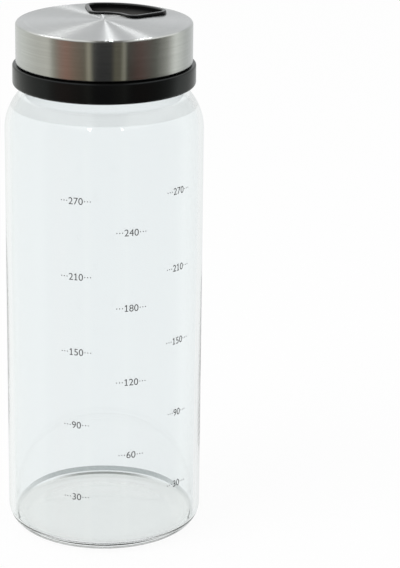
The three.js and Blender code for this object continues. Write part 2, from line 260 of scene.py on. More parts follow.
def tell(piece):
    """Prints what a finished piece measures."""
    spans = [[v.co[axis] / MM for v in piece.data.vertices] for axis in range(3)]
    sizes = " x ".join(f"{max(s) - min(s):.2f}" for s in spans)
    print(f"{piece.name}: {sizes} mm, top at {max(spans[2]):.2f}, {len(piece.data.polygons)} faces")


fillet_centre = NECK_RADIUS + NECK_FILLET
fillet_run = fillet_centre - SHOULDER_CENTRE
NECK_BASE = SHOULDER_START + math.sqrt((SHOULDER_ROUND + NECK_FILLET) ** 2 - fillet_run ** 2)
RIM = NECK_BASE + NECK_HEIGHT
fillet_lean = math.degrees(math.atan2(NECK_BASE - SHOULDER_START, fillet_run))
inner_round = SHOULDER_ROUND - BODY_WALL
inner_lean = math.degrees(math.acos((MOUTH_RADIUS - SHOULDER_CENTRE) / inner_round))
floor_corner = (BODY_RADIUS - BODY_WALL - FLOOR_ROUND, FLOOR_TOP + FLOOR_ROUND)
jar_outline = [
    *[(radius, HOLLOW_DEPTH * (1 - (radius / HOLLOW_RADIUS) ** 2)) for radius in HOLLOW_RINGS],
    *arc((BODY_RADIUS - BASE_ROUND, BASE_ROUND), BASE_ROUND, -90, 0, steps=14),
    *arc((SHOULDER_CENTRE, SHOULDER_START), SHOULDER_ROUND, 0, fillet_lean, steps=18),
    *arc((fillet_centre, NECK_BASE), NECK_FILLET, 180 + fillet_lean, 180, steps=6),
    *arc((NECK_RADIUS - RIM_ROUND, RIM - RIM_ROUND), RIM_ROUND, 0, 90, steps=5),
    *arc((MOUTH_RADIUS + RIM_ROUND, RIM - RIM_ROUND), RIM_ROUND, 90, 180, steps=5),
    *arc((SHOULDER_CENTRE, SHOULDER_START), inner_round, inner_lean, 0, steps=16),
    *arc(floor_corner, FLOOR_ROUND, 0, -90, steps=10),
    (0, FLOOR_TOP),
]
jar = turned("jar_glass", jar_outline, JAR_STEPS, SOFT_CREASE)
combined(jar, thread_bead("neck_bead", NECK_RADIUS, OUTWARDS, NECK_BEAD_START), "UNION")
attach(jar, "jar")
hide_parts("glass_jar")
tell(jar)

# %% [markdown]
# ## The printed volume scale
# Small dark numbers are printed on the glass in three upright columns, with three dots on each side of
# every number. An image would be less work, but a mesh stays sharp at any distance. So each number is set
# as text, made a mesh, joined with its dots and wrapped round the jar by moving its points, and the ink
# follows the curve. The font's 1 is a bare stroke of four points. It is swapped for a drawn 1 that has a
# flag and a foot, as the printed one has.

# %% Figures
DIGIT_HEIGHT = 2.1
BARE_STROKE = 4
ONE_OUTLINE = [
    (-0.48, 0.24), (-0.14, 0.24), (-0.14, 1.72), (-0.48, 1.52), (-0.48, 1.8), (-0.12, DIGIT_HEIGHT),
    (0.16, DIGIT_HEIGHT), (0.16, 0.24), (0.48, 0.24), (0.48, 0), (-0.48, 0),
]


def figure_one(middle):
    """A 1 with a flag and a foot, centred on a place along the number."""
    piece = drawn("figure_one", [(middle + x, y - DIGIT_HEIGHT / 2, 0) for x, y in ONE_OUTLINE])
    bpy.ops.mesh.edge_face_add()
    return settled(piece)


def figures():
    """Splits the selected number into its figures, and swaps each bare stroke for a proper 1."""
    bpy.ops.mesh.separate(type="LOOSE")
    pieces = []
    for piece in list(bpy.context.selected_objects):
        if len(piece.data.vertices) == BARE_STROKE:
            across = [v.co.x / MM for v in piece.data.vertices]
            bpy.data.objects.remove(piece)
            piece = figure_one((min(across) + max(across)) / 2)
        pieces.append(piece)
    return pieces


def number_mesh(number):
    """A number as a selected mesh, centred on the origin."""
    start_clean()
    bpy.ops.object.text_add()
    text = bpy.context.object
    text.data.body = number
    text.data.align_x = "CENTER"
    bpy.ops.object.convert(target="MESH")
    digits = bpy.context.object
    top = max(v.co.y for v in digits.data.vertices)
    for vertex in digits.data.vertices:
        vertex.co *= DIGIT_HEIGHT * MM / top
        vertex.co.y -= DIGIT_HEIGHT * MM / 2
    return digits


print("figures are", DIGIT_HEIGHT, "mm high")

# %% Volume scale
DOT_RADIUS = 0.17
DOT_CORNERS = 12
DOT_GAP = 0.55
DOT_PITCH = 0.85
DOTS_A_SIDE = 3
INK_LIFT = 0.008
INK_THICKNESS = 0.03
COLUMNS = {
    -16.2: {"270": 112.5, "210": 89.2, "150": 65.6, "90": 42.3, "30": 18.9},
    15.6: {"240": 102.9, "180": 79.5, "120": 56.1, "60": 32.7},
    47.2: {"270": 113.3, "210": 89.5, "150": 66.4, "90": 43.3, "30": 19.9},
}


def copied(piece, shift):
    """A copy with its own mesh, moved by a shift in millimetres."""
    copy = piece.copy()
    copy.data = piece.data.copy()
    bpy.context.collection.objects.link(copy)
    for vertex in copy.data.vertices:
        vertex.co = [place + step for place, step in zip(vertex.co, mm(*shift))]
    return copy


def joined(pieces):
    """Joins several pieces into the first one."""
    start_clean()
    for piece in pieces:
        piece.select_set(True)
    bpy.context.view_layer.objects.active = pieces[0]
    bpy.ops.object.join()
    return pieces[0]


def mark(number, angle, height, dot):
    """A number with its dots, wrapped round the jar at an angle from the front."""
    half = max(v.co.x for v in number_mesh(number).data.vertices) / MM
    written = figures()
    dots = [
        copied(dot, (side * (half + DOT_GAP + i * DOT_PITCH), 0, 0))
        for side in (-1, 1)
        for i in range(DOTS_A_SIDE)
    ]
    whole = joined([*written, *dots])
    radius = (BODY_RADIUS + INK_LIFT) * MM
    for vertex in whole.data.vertices:
        turn = math.radians(angle) + vertex.co.x / radius
        vertex.co = (radius * math.sin(turn), -radius * math.cos(turn), height * MM + vertex.co.y)
    return whole


start_clean()
bpy.ops.mesh.primitive_circle_add(vertices=DOT_CORNERS, radius=DOT_RADIUS * MM, fill_type="NGON")
first_dot = bpy.context.object
marks = [
    mark(number, angle, height, first_dot)
    for angle, column in COLUMNS.items()
    for number, height in column.items()
]
bpy.data.objects.remove(first_dot)
scale_print = joined(marks)
scale_print.name = "volume_scale"
with_modifier(scale_print, "SOLIDIFY", thickness=INK_THICKNESS * MM, offset=1)
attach(scale_print, "jar")
tell(scale_print)

# %% [markdown]
# ## The screw collar
# The collar is one moulding in black plastic. Only its rounded band shows, a little wider than the steel
# above it. Out of sight are the thread, a shelf for the sifter plate with three keyways, and a hub
# with a snap ridge that the dial clips over. Separate rings could be stacked for all that, but one turned
# outline leaves no seams. A Boolean then cuts the keyways and adds the thread, which aren't round.

# %% Keyed outline
PLATE_RADIUS = 22.5
KEYS = 3
KEY_HALF_ANGLE = 4.5
KEY_REACH = 0.9
KEY_CLEARANCE = 0.2


def pull_up(height):
    """Extrudes what is selected upwards, or downwards by a negative height."""
    bpy.ops.mesh.extrude_region_move(TRANSFORM_OT_translate={"value": (0, 0, height * MM)})


def slab(name, outline, bottom, top):
    """A flat outline of (x, y) points filled and extruded upwards."""
    piece = drawn(name, [(x, y, bottom) for x, y in outline])
    bpy.ops.mesh.edge_face_add()
    pull_up(top - bottom)
    face_out()
    return settled(piece)


def keyed_disc(clearance):
    """Outline of the sifter plate: a disc with lugs, which the collar's keyways take."""
    half_key = KEY_HALF_ANGLE + math.degrees(clearance / PLATE_RADIUS)
    lug_radius = PLATE_RADIUS + KEY_REACH + clearance
    apart = 360 / KEYS
    outline = []
    for i in range(KEYS):
        middle = LID_TURN + i * apart
        outline += arc((0, 0), lug_radius, middle - half_key, middle + half_key, steps=4)
        outline += arc((0, 0), PLATE_RADIUS, middle + half_key, middle + apart - half_key, steps=44)
    return outline


print(KEYS, "keyways, each", KEY_CLEARANCE, "mm wider than its lug on either side")

# %% Collar
COLLAR_BOTTOM = 140.81
COLLAR_BORE = 22.8
COLLAR_BEAD_START = NECK_BEAD_START - THREAD_PITCH / 2
BAND_RADIUS = 27.5
BAND_HEIGHT = 6.3
BAND_LOW_ROUND = 0.9
BAND_HIGH_ROUND = 0.5
HUB_RADIUS = 24.3
GASKET_ROOM = 1.2
SHELF_THICKNESS = 1
PLATE_THICKNESS = 1.8
SNAP_DROP = 1.2
SNAP_HEIGHT = 1.3
SNAP_REACH = 0.45
OVERCUT = 1

BAND_TOP = COLLAR_BOTTOM + BAND_HEIGHT
shelf_bottom = RIM + GASKET_ROOM
SHELF_TOP = shelf_bottom + SHELF_THICKNESS
PLATE_TOP = SHELF_TOP + PLATE_THICKNESS
snap_top = PLATE_TOP - SNAP_DROP
snap_bottom = snap_top - SNAP_HEIGHT
low_centre = (BAND_RADIUS - BAND_LOW_ROUND, COLLAR_BOTTOM + BAND_LOW_ROUND)
high_centre = (BAND_RADIUS - BAND_HIGH_ROUND, BAND_TOP - BAND_HIGH_ROUND)
collar_outline = [
    (COLLAR_BORE, COLLAR_BOTTOM),
    *arc(low_centre, BAND_LOW_ROUND, -90, 0, steps=7),
    *arc(high_centre, BAND_HIGH_ROUND, 0, 90, steps=6),
    (HUB_RADIUS, BAND_TOP),
    (HUB_RADIUS, snap_bottom),
    (HUB_RADIUS + SNAP_REACH, snap_bottom + SNAP_REACH),
    (HUB_RADIUS + SNAP_REACH, snap_top - SNAP_REACH),
    (HUB_RADIUS, snap_top),
    (HUB_RADIUS, PLATE_TOP),
    (COLLAR_BORE, PLATE_TOP),
    (COLLAR_BORE, SHELF_TOP),
    (MOUTH_RADIUS, SHELF_TOP),
    (MOUTH_RADIUS, shelf_bottom),
    (COLLAR_BORE, shelf_bottom),
    (COLLAR_BORE, COLLAR_BOTTOM),
]
collar = turned("collar_band", collar_outline)
combined(collar, slab("keyways", keyed_disc(KEY_CLEARANCE), SHELF_TOP, PLATE_TOP + OVERCUT), "DIFFERENCE")
combined(collar, thread_bead("collar_bead", COLLAR_BORE, INWARDS, COLLAR_BEAD_START), "UNION")
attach(collar, "collar")
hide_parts("screw_collar")
tell(collar)

# %% [markdown]
# ## The sifter plate
# Under the dial lies a plate with three fields: coarse holes, a pouring slot and fine holes. It shows
# through the window, and round holes with softened edges matter there. A picture of holes would look flat,
# so one hole is made and copied along arcs, all cutters are joined, and one Boolean cuts them out before a
# small bevel breaks the edges.

# %% Holes and the slot's outline
FIELD_INNER = 9.8
FIELD_OUTER = 17.9
FIELD_HALF_ANGLE = 32
COARSE_HOLES = {"radius": 1.5, "bridge": 1.6, "direction": 0}
FINE_HOLES = {"radius": 0.9, "bridge": 1.2, "direction": 180}
HOLE_CORNERS = 32
CUTTER_DEPTH = 6
CUTTER_MIDDLE = PLATE_TOP - 1
CORNER_STEPS = 10


def sector(inner, outer, side_angle, side_offset, corner, outset, direction):
    """Outline of part of a ring with round corners, about a direction in degrees."""
    far, near = outer - corner, inner + corner
    far_lean, near_lean = [
        side_angle + math.degrees(math.asin((side_offset - corner) / reach)) for reach in (far, near)
    ]
    square = side_angle + 90
    (far_x, far_y), (near_x, near_y) = [
        (reach * math.cos(math.radians(lean)), reach * math.sin(math.radians(lean)))
        for reach, lean in ((far, far_lean), (near, near_lean))
    ]
    rounding = corner + outset
    flat = [
        *arc((0, 0), outer + outset, -far_lean, far_lean, 4 * CORNER_STEPS),
        *arc((far_x, far_y), rounding, far_lean, square, CORNER_STEPS)[1:],
        *arc((near_x, near_y), rounding, square, near_lean + 180, CORNER_STEPS),
        *arc((0, 0), inner - outset, near_lean, -near_lean, 2 * CORNER_STEPS)[1:],
        *arc((near_x, -near_y), rounding, 180 - near_lean, 360 - square, CORNER_STEPS)[1:],
        *arc((far_x, -far_y), rounding, -square, -far_lean, CORNER_STEPS)[:-1],
    ]
    turn = math.radians(direction)
    return [
        (x * math.cos(turn) - y * math.sin(turn), x * math.sin(turn) + y * math.cos(turn)) for x, y in flat
    ]


def hole_cutters(radius, bridge, direction):
    """Round cutters in rows along arcs, copied from one, with a bridge of plate between them."""
    start_clean()
    bpy.ops.mesh.primitive_cylinder_add(vertices=HOLE_CORNERS, radius=radius * MM, depth=CUTTER_DEPTH * MM)
    first = bpy.context.object
    spacing = 2 * radius + bridge
    cutters = []
    row = FIELD_INNER + radius
    while row <= FIELD_OUTER - radius:
        step = math.degrees(spacing / row)
        gaps = int(2 * (FIELD_HALF_ANGLE - math.degrees(radius / row)) // step)
        for i in range(gaps + 1):
            place = math.radians(LID_TURN + direction + (i - gaps / 2) * step)
            cutters.append(copied(first, (row * math.cos(place), row * math.sin(place), CUTTER_MIDDLE)))
        row += spacing
    bpy.data.objects.remove(first)
    return cutters


holes = hole_cutters(**COARSE_HOLES) + hole_cutters(**FINE_HOLES)
print(len(holes), "holes for the plate")

# %% Sifter plate
SLOT_DIRECTION = 90
SLOT_CORNER = 2
GROOVE_INNER = 20.8
GROOVE_OUTER = 21.9
GROOVE_DEPTH = 0.8
GROOVE_STEPS = 132
EDGE_BREAK = 0.12
EDGE_ANGLE = 40

plate = slab("sifter", keyed_disc(0), SHELF_TOP, PLATE_TOP)
combined(plate, joined(holes), "DIFFERENCE")
slot_line = sector(
    FIELD_INNER, FIELD_OUTER, side_angle=FIELD_HALF_ANGLE, side_offset=0, corner=SLOT_CORNER, outset=0,
    direction=LID_TURN + SLOT_DIRECTION,
)
combined(plate, slab("slot", slot_line, SHELF_TOP - OVERCUT, PLATE_TOP + OVERCUT), "DIFFERENCE")
groove_line = [
    (GROOVE_INNER, PLATE_TOP - GROOVE_DEPTH),
    (GROOVE_OUTER, PLATE_TOP - GROOVE_DEPTH),
    (GROOVE_OUTER, PLATE_TOP + OVERCUT),
    (GROOVE_INNER, PLATE_TOP + OVERCUT),
    (GROOVE_INNER, PLATE_TOP - GROOVE_DEPTH),
]
combined(plate, turned("groove", groove_line, GROOVE_STEPS), "DIFFERENCE")
with_modifier(
    plate, "BEVEL", width=EDGE_BREAK * MM, segments=2, limit_method="ANGLE",
    angle_limit=math.radians(EDGE_ANGLE),
)
smoothed(plate, EDGE_ANGLE)
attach(plate, "collar")
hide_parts("sifter_plate")
tell(plate)

# %% [markdown]
# ## The steel shell of the dial
# The cap that one turns is a thin pressed shell of stainless steel: a nearly flat top, a small tight
# round at its edge, a straight side and a hem. The top bulges by half a millimetre. A bevelled cylinder
# comes close, but has no bulge, wall or hem. So the shell is turned like the jar, with closely spaced
# rings, and then the window is cut through it with a Boolean.

# %% Steel shell
SHELL_STEPS = 192
DIAL_GAP = 0.3
SHELL_BORE = 26.0
SHELL_WALL = 0.5
SHELL_RISE = 2.45
SHELL_GAP = 0.35
EDGE_ROUND = 0.75
HEM_REACH = 0.4
DOME_BULGE = 0.5
DOME_STEPS = 14
WINDOW = {"inner": 8.8, "outer": 20.8, "side_angle": 31.5, "side_offset": 2.05, "corner": 2.1}
WINDOW_CUT_OUTSET = 0.95
WINDOW_CUT_TOP = RIM + 10

DIAL_BASE = PLATE_TOP + DIAL_GAP
DOME_RADIUS = SHELL_BORE + SHELL_WALL - EDGE_ROUND
SHELL_EDGE = DIAL_BASE + SHELL_RISE
SHELL_BOTTOM = BAND_TOP + SHELL_GAP
HEM_TOP = SHELL_BOTTOM + SHELL_WALL


def dome_height(radius, edge):
    """Height of the bulged top at a radius, from the height of its edge."""
    return edge + DOME_BULGE * (1 - (radius / DOME_RADIUS) ** 2)


def dome(start, end, edge):
    """Points over the bulged top from one radius to another."""
    radii = [start + (end - start) * i / DOME_STEPS for i in range(DOME_STEPS + 1)]
    return [(radius, dome_height(radius, edge)) for radius in radii]


edge_centre = (DOME_RADIUS, SHELL_EDGE - EDGE_ROUND)
shell_outline = [
    *dome(0, DOME_RADIUS, SHELL_EDGE - SHELL_WALL),
    *arc(edge_centre, EDGE_ROUND - SHELL_WALL, 90, 0, steps=4)[1:],
    (SHELL_BORE, HEM_TOP),
    (SHELL_BORE - HEM_REACH, HEM_TOP),
    (SHELL_BORE - HEM_REACH, SHELL_BOTTOM),
    *arc((SHELL_BORE, HEM_TOP), SHELL_WALL, -90, 0, steps=6),
    *arc(edge_centre, EDGE_ROUND, 0, 90, steps=10)[:-1],
    *dome(DOME_RADIUS, 0, SHELL_EDGE),
]
shell = turned("steel_cap", shell_outline, SHELL_STEPS)
window_line = sector(**WINDOW, outset=WINDOW_CUT_OUTSET, direction=LID_TURN)
combined(shell, slab("window_cut", window_line, DIAL_BASE, WINDOW_CUT_TOP), "DIFFERENCE")
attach(shell, "dial")
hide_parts("steel_shell")
tell(shell)

# %% [markdown]
# ## The raised window frame
# A black frame snaps into the window. Its flange covers the cut edge of the steel, a rounded bead stands
# proud of the top, and a sleeve lines the opening down to the plate. A bevelled curve would make the bead
# alone. So the frame starts as the flange's outline and is stepped inwards with Inset, whose depth raises
# or lowers each step, so every line round the frame keeps the same distance. The underside is stepped in
# the same way, the two meet below, and at last the flange is bent to the bulge of the steel.

# %% Window frame
FLANGE_OUTSET = 1.3
FLANGE_GAP = 0.15
FLANGE_THICKNESS = 0.15
FLANGE_WIDTH = 0.5
SLEEVE_WALL = 0.8
SLEEVE_MERGE_GAP = 0.02
WINDOW_MIDDLE = 14
LEVEL_WITHIN = 0.004
BEAD_STEPS = [
    (0.05, 0.22), (0.08, 0.12), (0.12, 0.05), (0.18, 0.01),
    (0.25, 0), (0.27, -0.03), (0.20, -0.07), (0.15, -0.14),
]


def face_at(piece, height):
    """Selects the faces that lie flat at a height, in millimetres."""
    bpy.ops.mesh.select_all(action="DESELECT")
    bpy.ops.object.mode_set(mode="OBJECT")
    heights = [vertex.co.z / MM for vertex in piece.data.vertices]
    for face in piece.data.polygons:
        face.select = all(abs(heights[i] - height) < LEVEL_WITHIN for i in face.vertices)
    bpy.ops.object.mode_set(mode="EDIT")
    bpy.ops.mesh.select_mode(type="FACE")


def step_in(width, rise=0):
    """Insets the selected face by a width, and raises it."""
    bpy.ops.mesh.inset(thickness=width * MM, depth=rise * MM)


middle_height = dome_height(WINDOW_MIDDLE, SHELL_EDGE)
flange_low = middle_height + FLANGE_GAP
flange_high = flange_low + FLANGE_THICKNESS
flange_line = sector(**WINDOW, outset=FLANGE_OUTSET, direction=LID_TURN)
bezel = slab("window_frame", flange_line, flange_low, flange_high)
bpy.ops.object.mode_set(mode="EDIT")
face_at(bezel, flange_high)
for inwards, upwards in BEAD_STEPS:
    step_in(inwards, upwards)
bead_end = flange_high + sum(upwards for _, upwards in BEAD_STEPS)
pull_up(DIAL_BASE - bead_end)
bpy.ops.mesh.delete(type="FACE")
face_at(bezel, flange_low)
step_in(FLANGE_WIDTH)
pull_up(DIAL_BASE - flange_low)
step_in(SLEEVE_WALL)
bpy.ops.mesh.delete(type="FACE")
face_out(SLEEVE_MERGE_GAP)
settled(bezel, SOFT_CREASE)
tell(bezel)

# %% Bend the flange to the steel
BENT_FADE = 0.35
BELOW_FLANGE = -0.1

for vertex in bezel.data.vertices:
    radius = math.hypot(vertex.co.x, vertex.co.y) / MM
    rise = vertex.co.z / MM - flange_low
    bent_share = max(0, min(1, 1 - (rise - FLANGE_THICKNESS) / BENT_FADE)) if rise > BELOW_FLANGE else 0
    vertex.co.z += bent_share * (dome_height(radius, SHELL_EDGE) - middle_height) * MM
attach(bezel, "dial")
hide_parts("window_bezel")
tell(bezel)

# %% [markdown]
# ## Nodes as sums
# The finishes below are made of shader nodes. Wrapping a node's output in a small class lets Python's own
# signs build the Math nodes, so a finish reads like a formula. Everything else goes through one method,
# and short methods on top of it name what the finishes use again and again.


# %% Socket sums
class Value:
    """An output of a node. A sum of values adds the Math nodes that work it out."""

    def __init__(self, recipe, socket):
        self.recipe = recipe
        self.socket = socket

    def maths(self, operation, first, second):
        """One Math node."""
        return self.recipe.node("ShaderNodeMath", {"operation": operation}, {0: first, 1: second})

    def __add__(self, other):
        return self.maths("ADD", self, other)

    def __radd__(self, other):
        return self.maths("ADD", other, self)

    def __rsub__(self, other):
        return self.maths("SUBTRACT", other, self)

    def __mul__(self, other):
        return self.maths("MULTIPLY", self, other)

    def __truediv__(self, other):
        return self.maths("DIVIDE", self, other)


# %% Recipes of nodes
class Recipe:
    """The nodes of one finish, or of the room."""

    def __init__(self, tree):
        self.tree = tree
        tree.nodes.clear()

    def node(self, kind, settings=None, sockets=None, out=0):
        """Adds a node, sets it up and fills its sockets. A colour is written as three numbers."""
        made = self.tree.nodes.new(kind)
        for name, value in (settings or {}).items():
            if name == "stops":
                while len(made.color_ramp.elements) < len(value):
                    made.color_ramp.elements.new(1)
                for element, (place, colour) in zip(made.color_ramp.elements, value):
                    element.position = place
                    element.color = (*colour, 1)
            else:
                setattr(made, name, value)
        for name, value in (sockets or {}).items():
            socket = made.inputs[name]
            if isinstance(value, Value):
                self.tree.links.new(value.socket, socket)
            else:
                socket.default_value = (*value, 1) if socket.type == "RGBA" else value
        return Value(self, made.outputs[out]) if made.outputs else None

    def outputs(self, value, *names):
        """More outputs of the node that a value comes from."""
        return [Value(self, value.socket.node.outputs[name]) for name in names]

    def spot(self):
        """Where on the piece a point lies."""
        return self.node("ShaderNodeTexCoord", out="Object")

    def parts(self, vector):
        """The three numbers in a vector."""
        return self.outputs(self.node("ShaderNodeSeparateXYZ", None, {0: vector}), "X", "Y", "Z")

    def vector(self, x, y, z=0.0):
        """Three numbers as a vector."""
        return self.node("ShaderNodeCombineXYZ", None, {0: x, 1: y, 2: z})

    def length(self, vector):
        """How long a vector is."""
        return self.node("ShaderNodeVectorMath", {"operation": "LENGTH"}, {0: vector}, out="Value")

    def angle(self, across, along):
        """The turn of a direction, in radians."""
        return self.node("ShaderNodeMath", {"operation": "ARCTAN2"}, {0: across, 1: along})

    def scaled(self, vector, scale):
        """A vector with each of its numbers multiplied, to stretch or squeeze a pattern."""
        return self.node("ShaderNodeMapping", None, {"Vector": vector, "Scale": scale})

    def rise(self, value, low, high):
        """0 below low, 1 above high and a soft step between."""
        settings = {"interpolation_type": "SMOOTHSTEP"}
        return self.node("ShaderNodeMapRange", settings, {0: value, 1: low, 2: high})

    def fall(self, value, low, high):
        """1 below low, 0 above high and a soft step between."""
        return 1 - self.rise(value, low, high)

    def band(self, value, foot, top):
        """1 between two soft steps, each given by its low and high end."""
        return self.rise(value, *foot) * self.fall(value, *top)

    def blend(self, share, first, second):
        """One colour turning into another."""
        return self.node("ShaderNodeMix", {"data_type": "RGBA"}, {0: share, 6: first, 7: second}, out=2)

    def noise(self, spot, scale, detail=2, roughness=0.5):
        """Soft noise between 0 and 1."""
        sockets = {"Vector": spot, "Scale": scale, "Detail": detail, "Roughness": roughness}
        return self.node("ShaderNodeTexNoise", None, sockets)

    def bump(self, height, distance, strength):
        """A normal that follows small heights."""
        sockets = {"Height": height, "Distance": distance, "Strength": strength}
        return self.node("ShaderNodeBump", None, sockets)

    def rays(self):
        """1 for rays from the camera, mirrored rays and bent rays. A bent ray counts as mirrored too."""
        path = self.node("ShaderNodeLightPath")
        return self.outputs(path, "Is Camera Ray", "Is Glossy Ray", "Is Transmission Ray")

    def surface(self, **sockets):
        """The finished shader, with the names of its sockets written with underscores."""
        named = {name.replace("_", " "): value for name, value in sockets.items()}
        shader = self.node("ShaderNodeBsdfPrincipled", None, named)
        self.node("ShaderNodeOutputMaterial", None, {"Surface": shader})


def new_finish(name):
    """An empty material and the recipe that fills it."""
    material = bpy.data.materials.new(name)
    material.use_nodes = True
    return material, Recipe(material.node_tree)


def coat(material, *pieces):
    """Gives pieces a finish in place of whatever they had."""
    for piece in pieces:
        piece.data.materials.clear()
        piece.data.materials.append(material)
    print(material.name, "on", ", ".join(piece.name for piece in pieces))


# %% [markdown]
# ## Clear glass
# The jar is drawn from glass tube, so its walls are clear but not perfectly even: long soft waves run up
# the wall and bend what is seen through it. The waves are a Bump of stretched noise. A real jar also shows
# grey bands where its glass is thick or curved, from all that it mirrors and bends there. Bounces alone
# don't bring them back in a white room, so they are painted shade in the glass's colour: a belt on the
# shoulder, a greyer floor, and a ring, a thin dark line and a soft rim in the inner corner of the base.
# Layer Weight, with the wall's own direction as its normal, fades the ring and the line towards the sides,
# where the rim takes over. Backfacing keeps all of this painted shade to where light enters the glass, so
# that a wall shades a ray once.

# %% Where shade is painted on the glass
INNER_FACE = mm(28.53, 28.58)
FLOOR_HEIGHT = mm(3.1, 3.4)
FLOOR_EDGE = mm(20.5, 26.2)
CORNER_FOOT = mm(3.02, 3.06)
LINE_TOP = mm(3.4, 3.6)
RIM_TOP = mm(3.6, 4.4)
RING_FOOT = mm(3.6, 3.9)
RING_TOP = mm(5.2, 5.4)
RING_FOOT_SINK, RING_TOP_SINK = mm(0.4, 0.9)
BELT_FOOT = mm(134.4, 134.8)
BELT_TOP = mm(137.6, 138.6)
SINK_TURN = (0.15, 0.6)
RING_TURN = (0.15, 0.95)
LINE_TURN = (0.1, 0.27)
RIM_TURN = (0.35, 0.55)

glass, recipe = new_finish("clear_glass")
spot = recipe.spot()
x, y, z = recipe.parts(spot)
outwards = recipe.vector(x, y)
radius = recipe.length(outwards)
wall_normal = recipe.node("ShaderNodeVectorMath", {"operation": "NORMALIZE"}, {0: outwards})
sideways = recipe.node("ShaderNodeLayerWeight", None, {"Blend": 0.5, "Normal": wall_normal}, out="Facing")
entering = 1 - recipe.node("ShaderNodeNewGeometry", out="Backfacing")
inner = recipe.fall(radius, *INNER_FACE) * entering
floor = recipe.fall(z, *FLOOR_HEIGHT) * inner
sink = recipe.rise(sideways, *SINK_TURN)
ring_foot = recipe.rise(z + sink * RING_FOOT_SINK, *RING_FOOT)
ring_top = recipe.fall(z + sink * RING_TOP_SINK, *RING_TOP)
ring = ring_foot * ring_top * inner * recipe.fall(sideways, *RING_TURN)
line = recipe.band(z, CORNER_FOOT, LINE_TOP) * inner * recipe.fall(sideways, *LINE_TURN)
rim = recipe.band(z, CORNER_FOOT, RIM_TOP) * inner * recipe.rise(sideways, *RIM_TURN)
belt = recipe.band(z, BELT_FOOT, BELT_TOP) * entering
print(f"the belt on the shoulder lies between {BELT_FOOT[0]:.4f} and {BELT_TOP[1]:.4f} m")

# %% Glass
CLEAR_TINT = (0.93, 0.955, 0.96)
BELT_PAINTED_SHADE = (0.68, 0.7, 0.7)
FLOOR_PAINTED_SHADE = (0.87, 0.88, 0.85)
FLOOR_EDGE_PAINTED_SHADE = (0.76, 0.77, 0.74)
RIM_PAINTED_SHADE = (0.6, 0.62, 0.6)
RING_PAINTED_SHADE = (0.22, 0.25, 0.25)
LINE_PAINTED_SHADE = (0.1, 0.11, 0.1)
WAVE_SCALE = 45
WAVE_STRETCH = (1, 1, 0.25)

# Over the glass's clear tint, the belt, floor, rim, ring and line are painted shade.
floor_painted_shade = recipe.blend(recipe.rise(radius, *FLOOR_EDGE), FLOOR_PAINTED_SHADE, FLOOR_EDGE_PAINTED_SHADE)
glass_tint_and_painted_shade = CLEAR_TINT
for share, colour in (
    (belt, BELT_PAINTED_SHADE), (floor, floor_painted_shade), (rim, RIM_PAINTED_SHADE), (ring, RING_PAINTED_SHADE), (line, LINE_PAINTED_SHADE),
):
    glass_tint_and_painted_shade = recipe.blend(share, glass_tint_and_painted_shade, colour)
waves = recipe.noise(recipe.scaled(spot, WAVE_STRETCH), WAVE_SCALE, detail=1)
recipe.surface(
    Base_Color=glass_tint_and_painted_shade,
    Roughness=0.0,
    IOR=1.474,
    Transmission_Weight=1.0,
    Normal=recipe.bump(waves, distance=0.0004, strength=0.12),
)
coat(glass, jar)

# %% [markdown]
# ## Brushed steel
# The cap was brushed while it turned, so its fine scratches run round it. Scratches spread a reflection
# across themselves: upwards on the side, and outwards on the top, where they make the bright wedges that
# meet in the middle. Scratches of Bump alone would need far finer detail than a picture holds. So
# Anisotropic gives the spread, turned a quarter so that it lies across the scratches, and rings of noise,
# read from the radius, the height and the turn, give the scratches that one can see.

# %% Steel
FINE_LINES = (9000, 9000, 1.2)
BROAD_LINES = (2200, 2200, 0.6)
FINE_SHARE, BROAD_SHARE = 0.4, 0.6

steel, recipe = new_finish("brushed_steel")
x, y, z = recipe.parts(recipe.spot())
rings = recipe.vector(recipe.length(recipe.vector(x, y)), z, recipe.angle(y, x))
fine_lines = recipe.noise(recipe.scaled(rings, FINE_LINES), 1.0, detail=3, roughness=0.7)
broad_lines = recipe.noise(recipe.scaled(rings, BROAD_LINES), 1.0)
lines = fine_lines * FINE_SHARE + broad_lines * BROAD_SHARE
recipe.surface(
    Base_Color=recipe.blend(lines, (0.46, 0.47, 0.47), (0.64, 0.65, 0.65)),
    Metallic=1.0,
    Roughness=0.2 + lines * 0.06,
    Anisotropic=1.0,
    Anisotropic_Rotation=0.25,
    Normal=recipe.bump(lines, distance=0.00001, strength=0.35),
)
coat(steel, shell)

# %% [markdown]
# ## Black plastic
# The collar, the plate, the rotor and the window's frame are moulded in black plastic with a fine satin
# texture from the mould, which softens highlights. The top of the bead round the window is rubbed glossy,
# and deep in the window the black is painted lighter, as painted light for the light that reaches down
# there. A plain black would look like a hole in the picture, so noise varies the black and its shine, and
# the place of a point tells whether it is rubbed or painted lighter.

# %% Plastic
TEXTURE_SCALE = 5200
CLOUD_SCALE = 60
PAINTED_LIGHT_DEPTH = mm(157.5, 159.7)
PAINTED_LIGHT_REACH = mm(21.2, 22.2)
RUBBED_HEIGHT = mm(160, 160.4)
PAINTED_LIGHT_COLOUR = (0.1, 0.1, 0.096)

plastic, recipe = new_finish("black_plastic")
spot = recipe.spot()
x, y, z = recipe.parts(spot)
radius = recipe.length(recipe.vector(x, y))
cloud = recipe.noise(spot, CLOUD_SCALE)
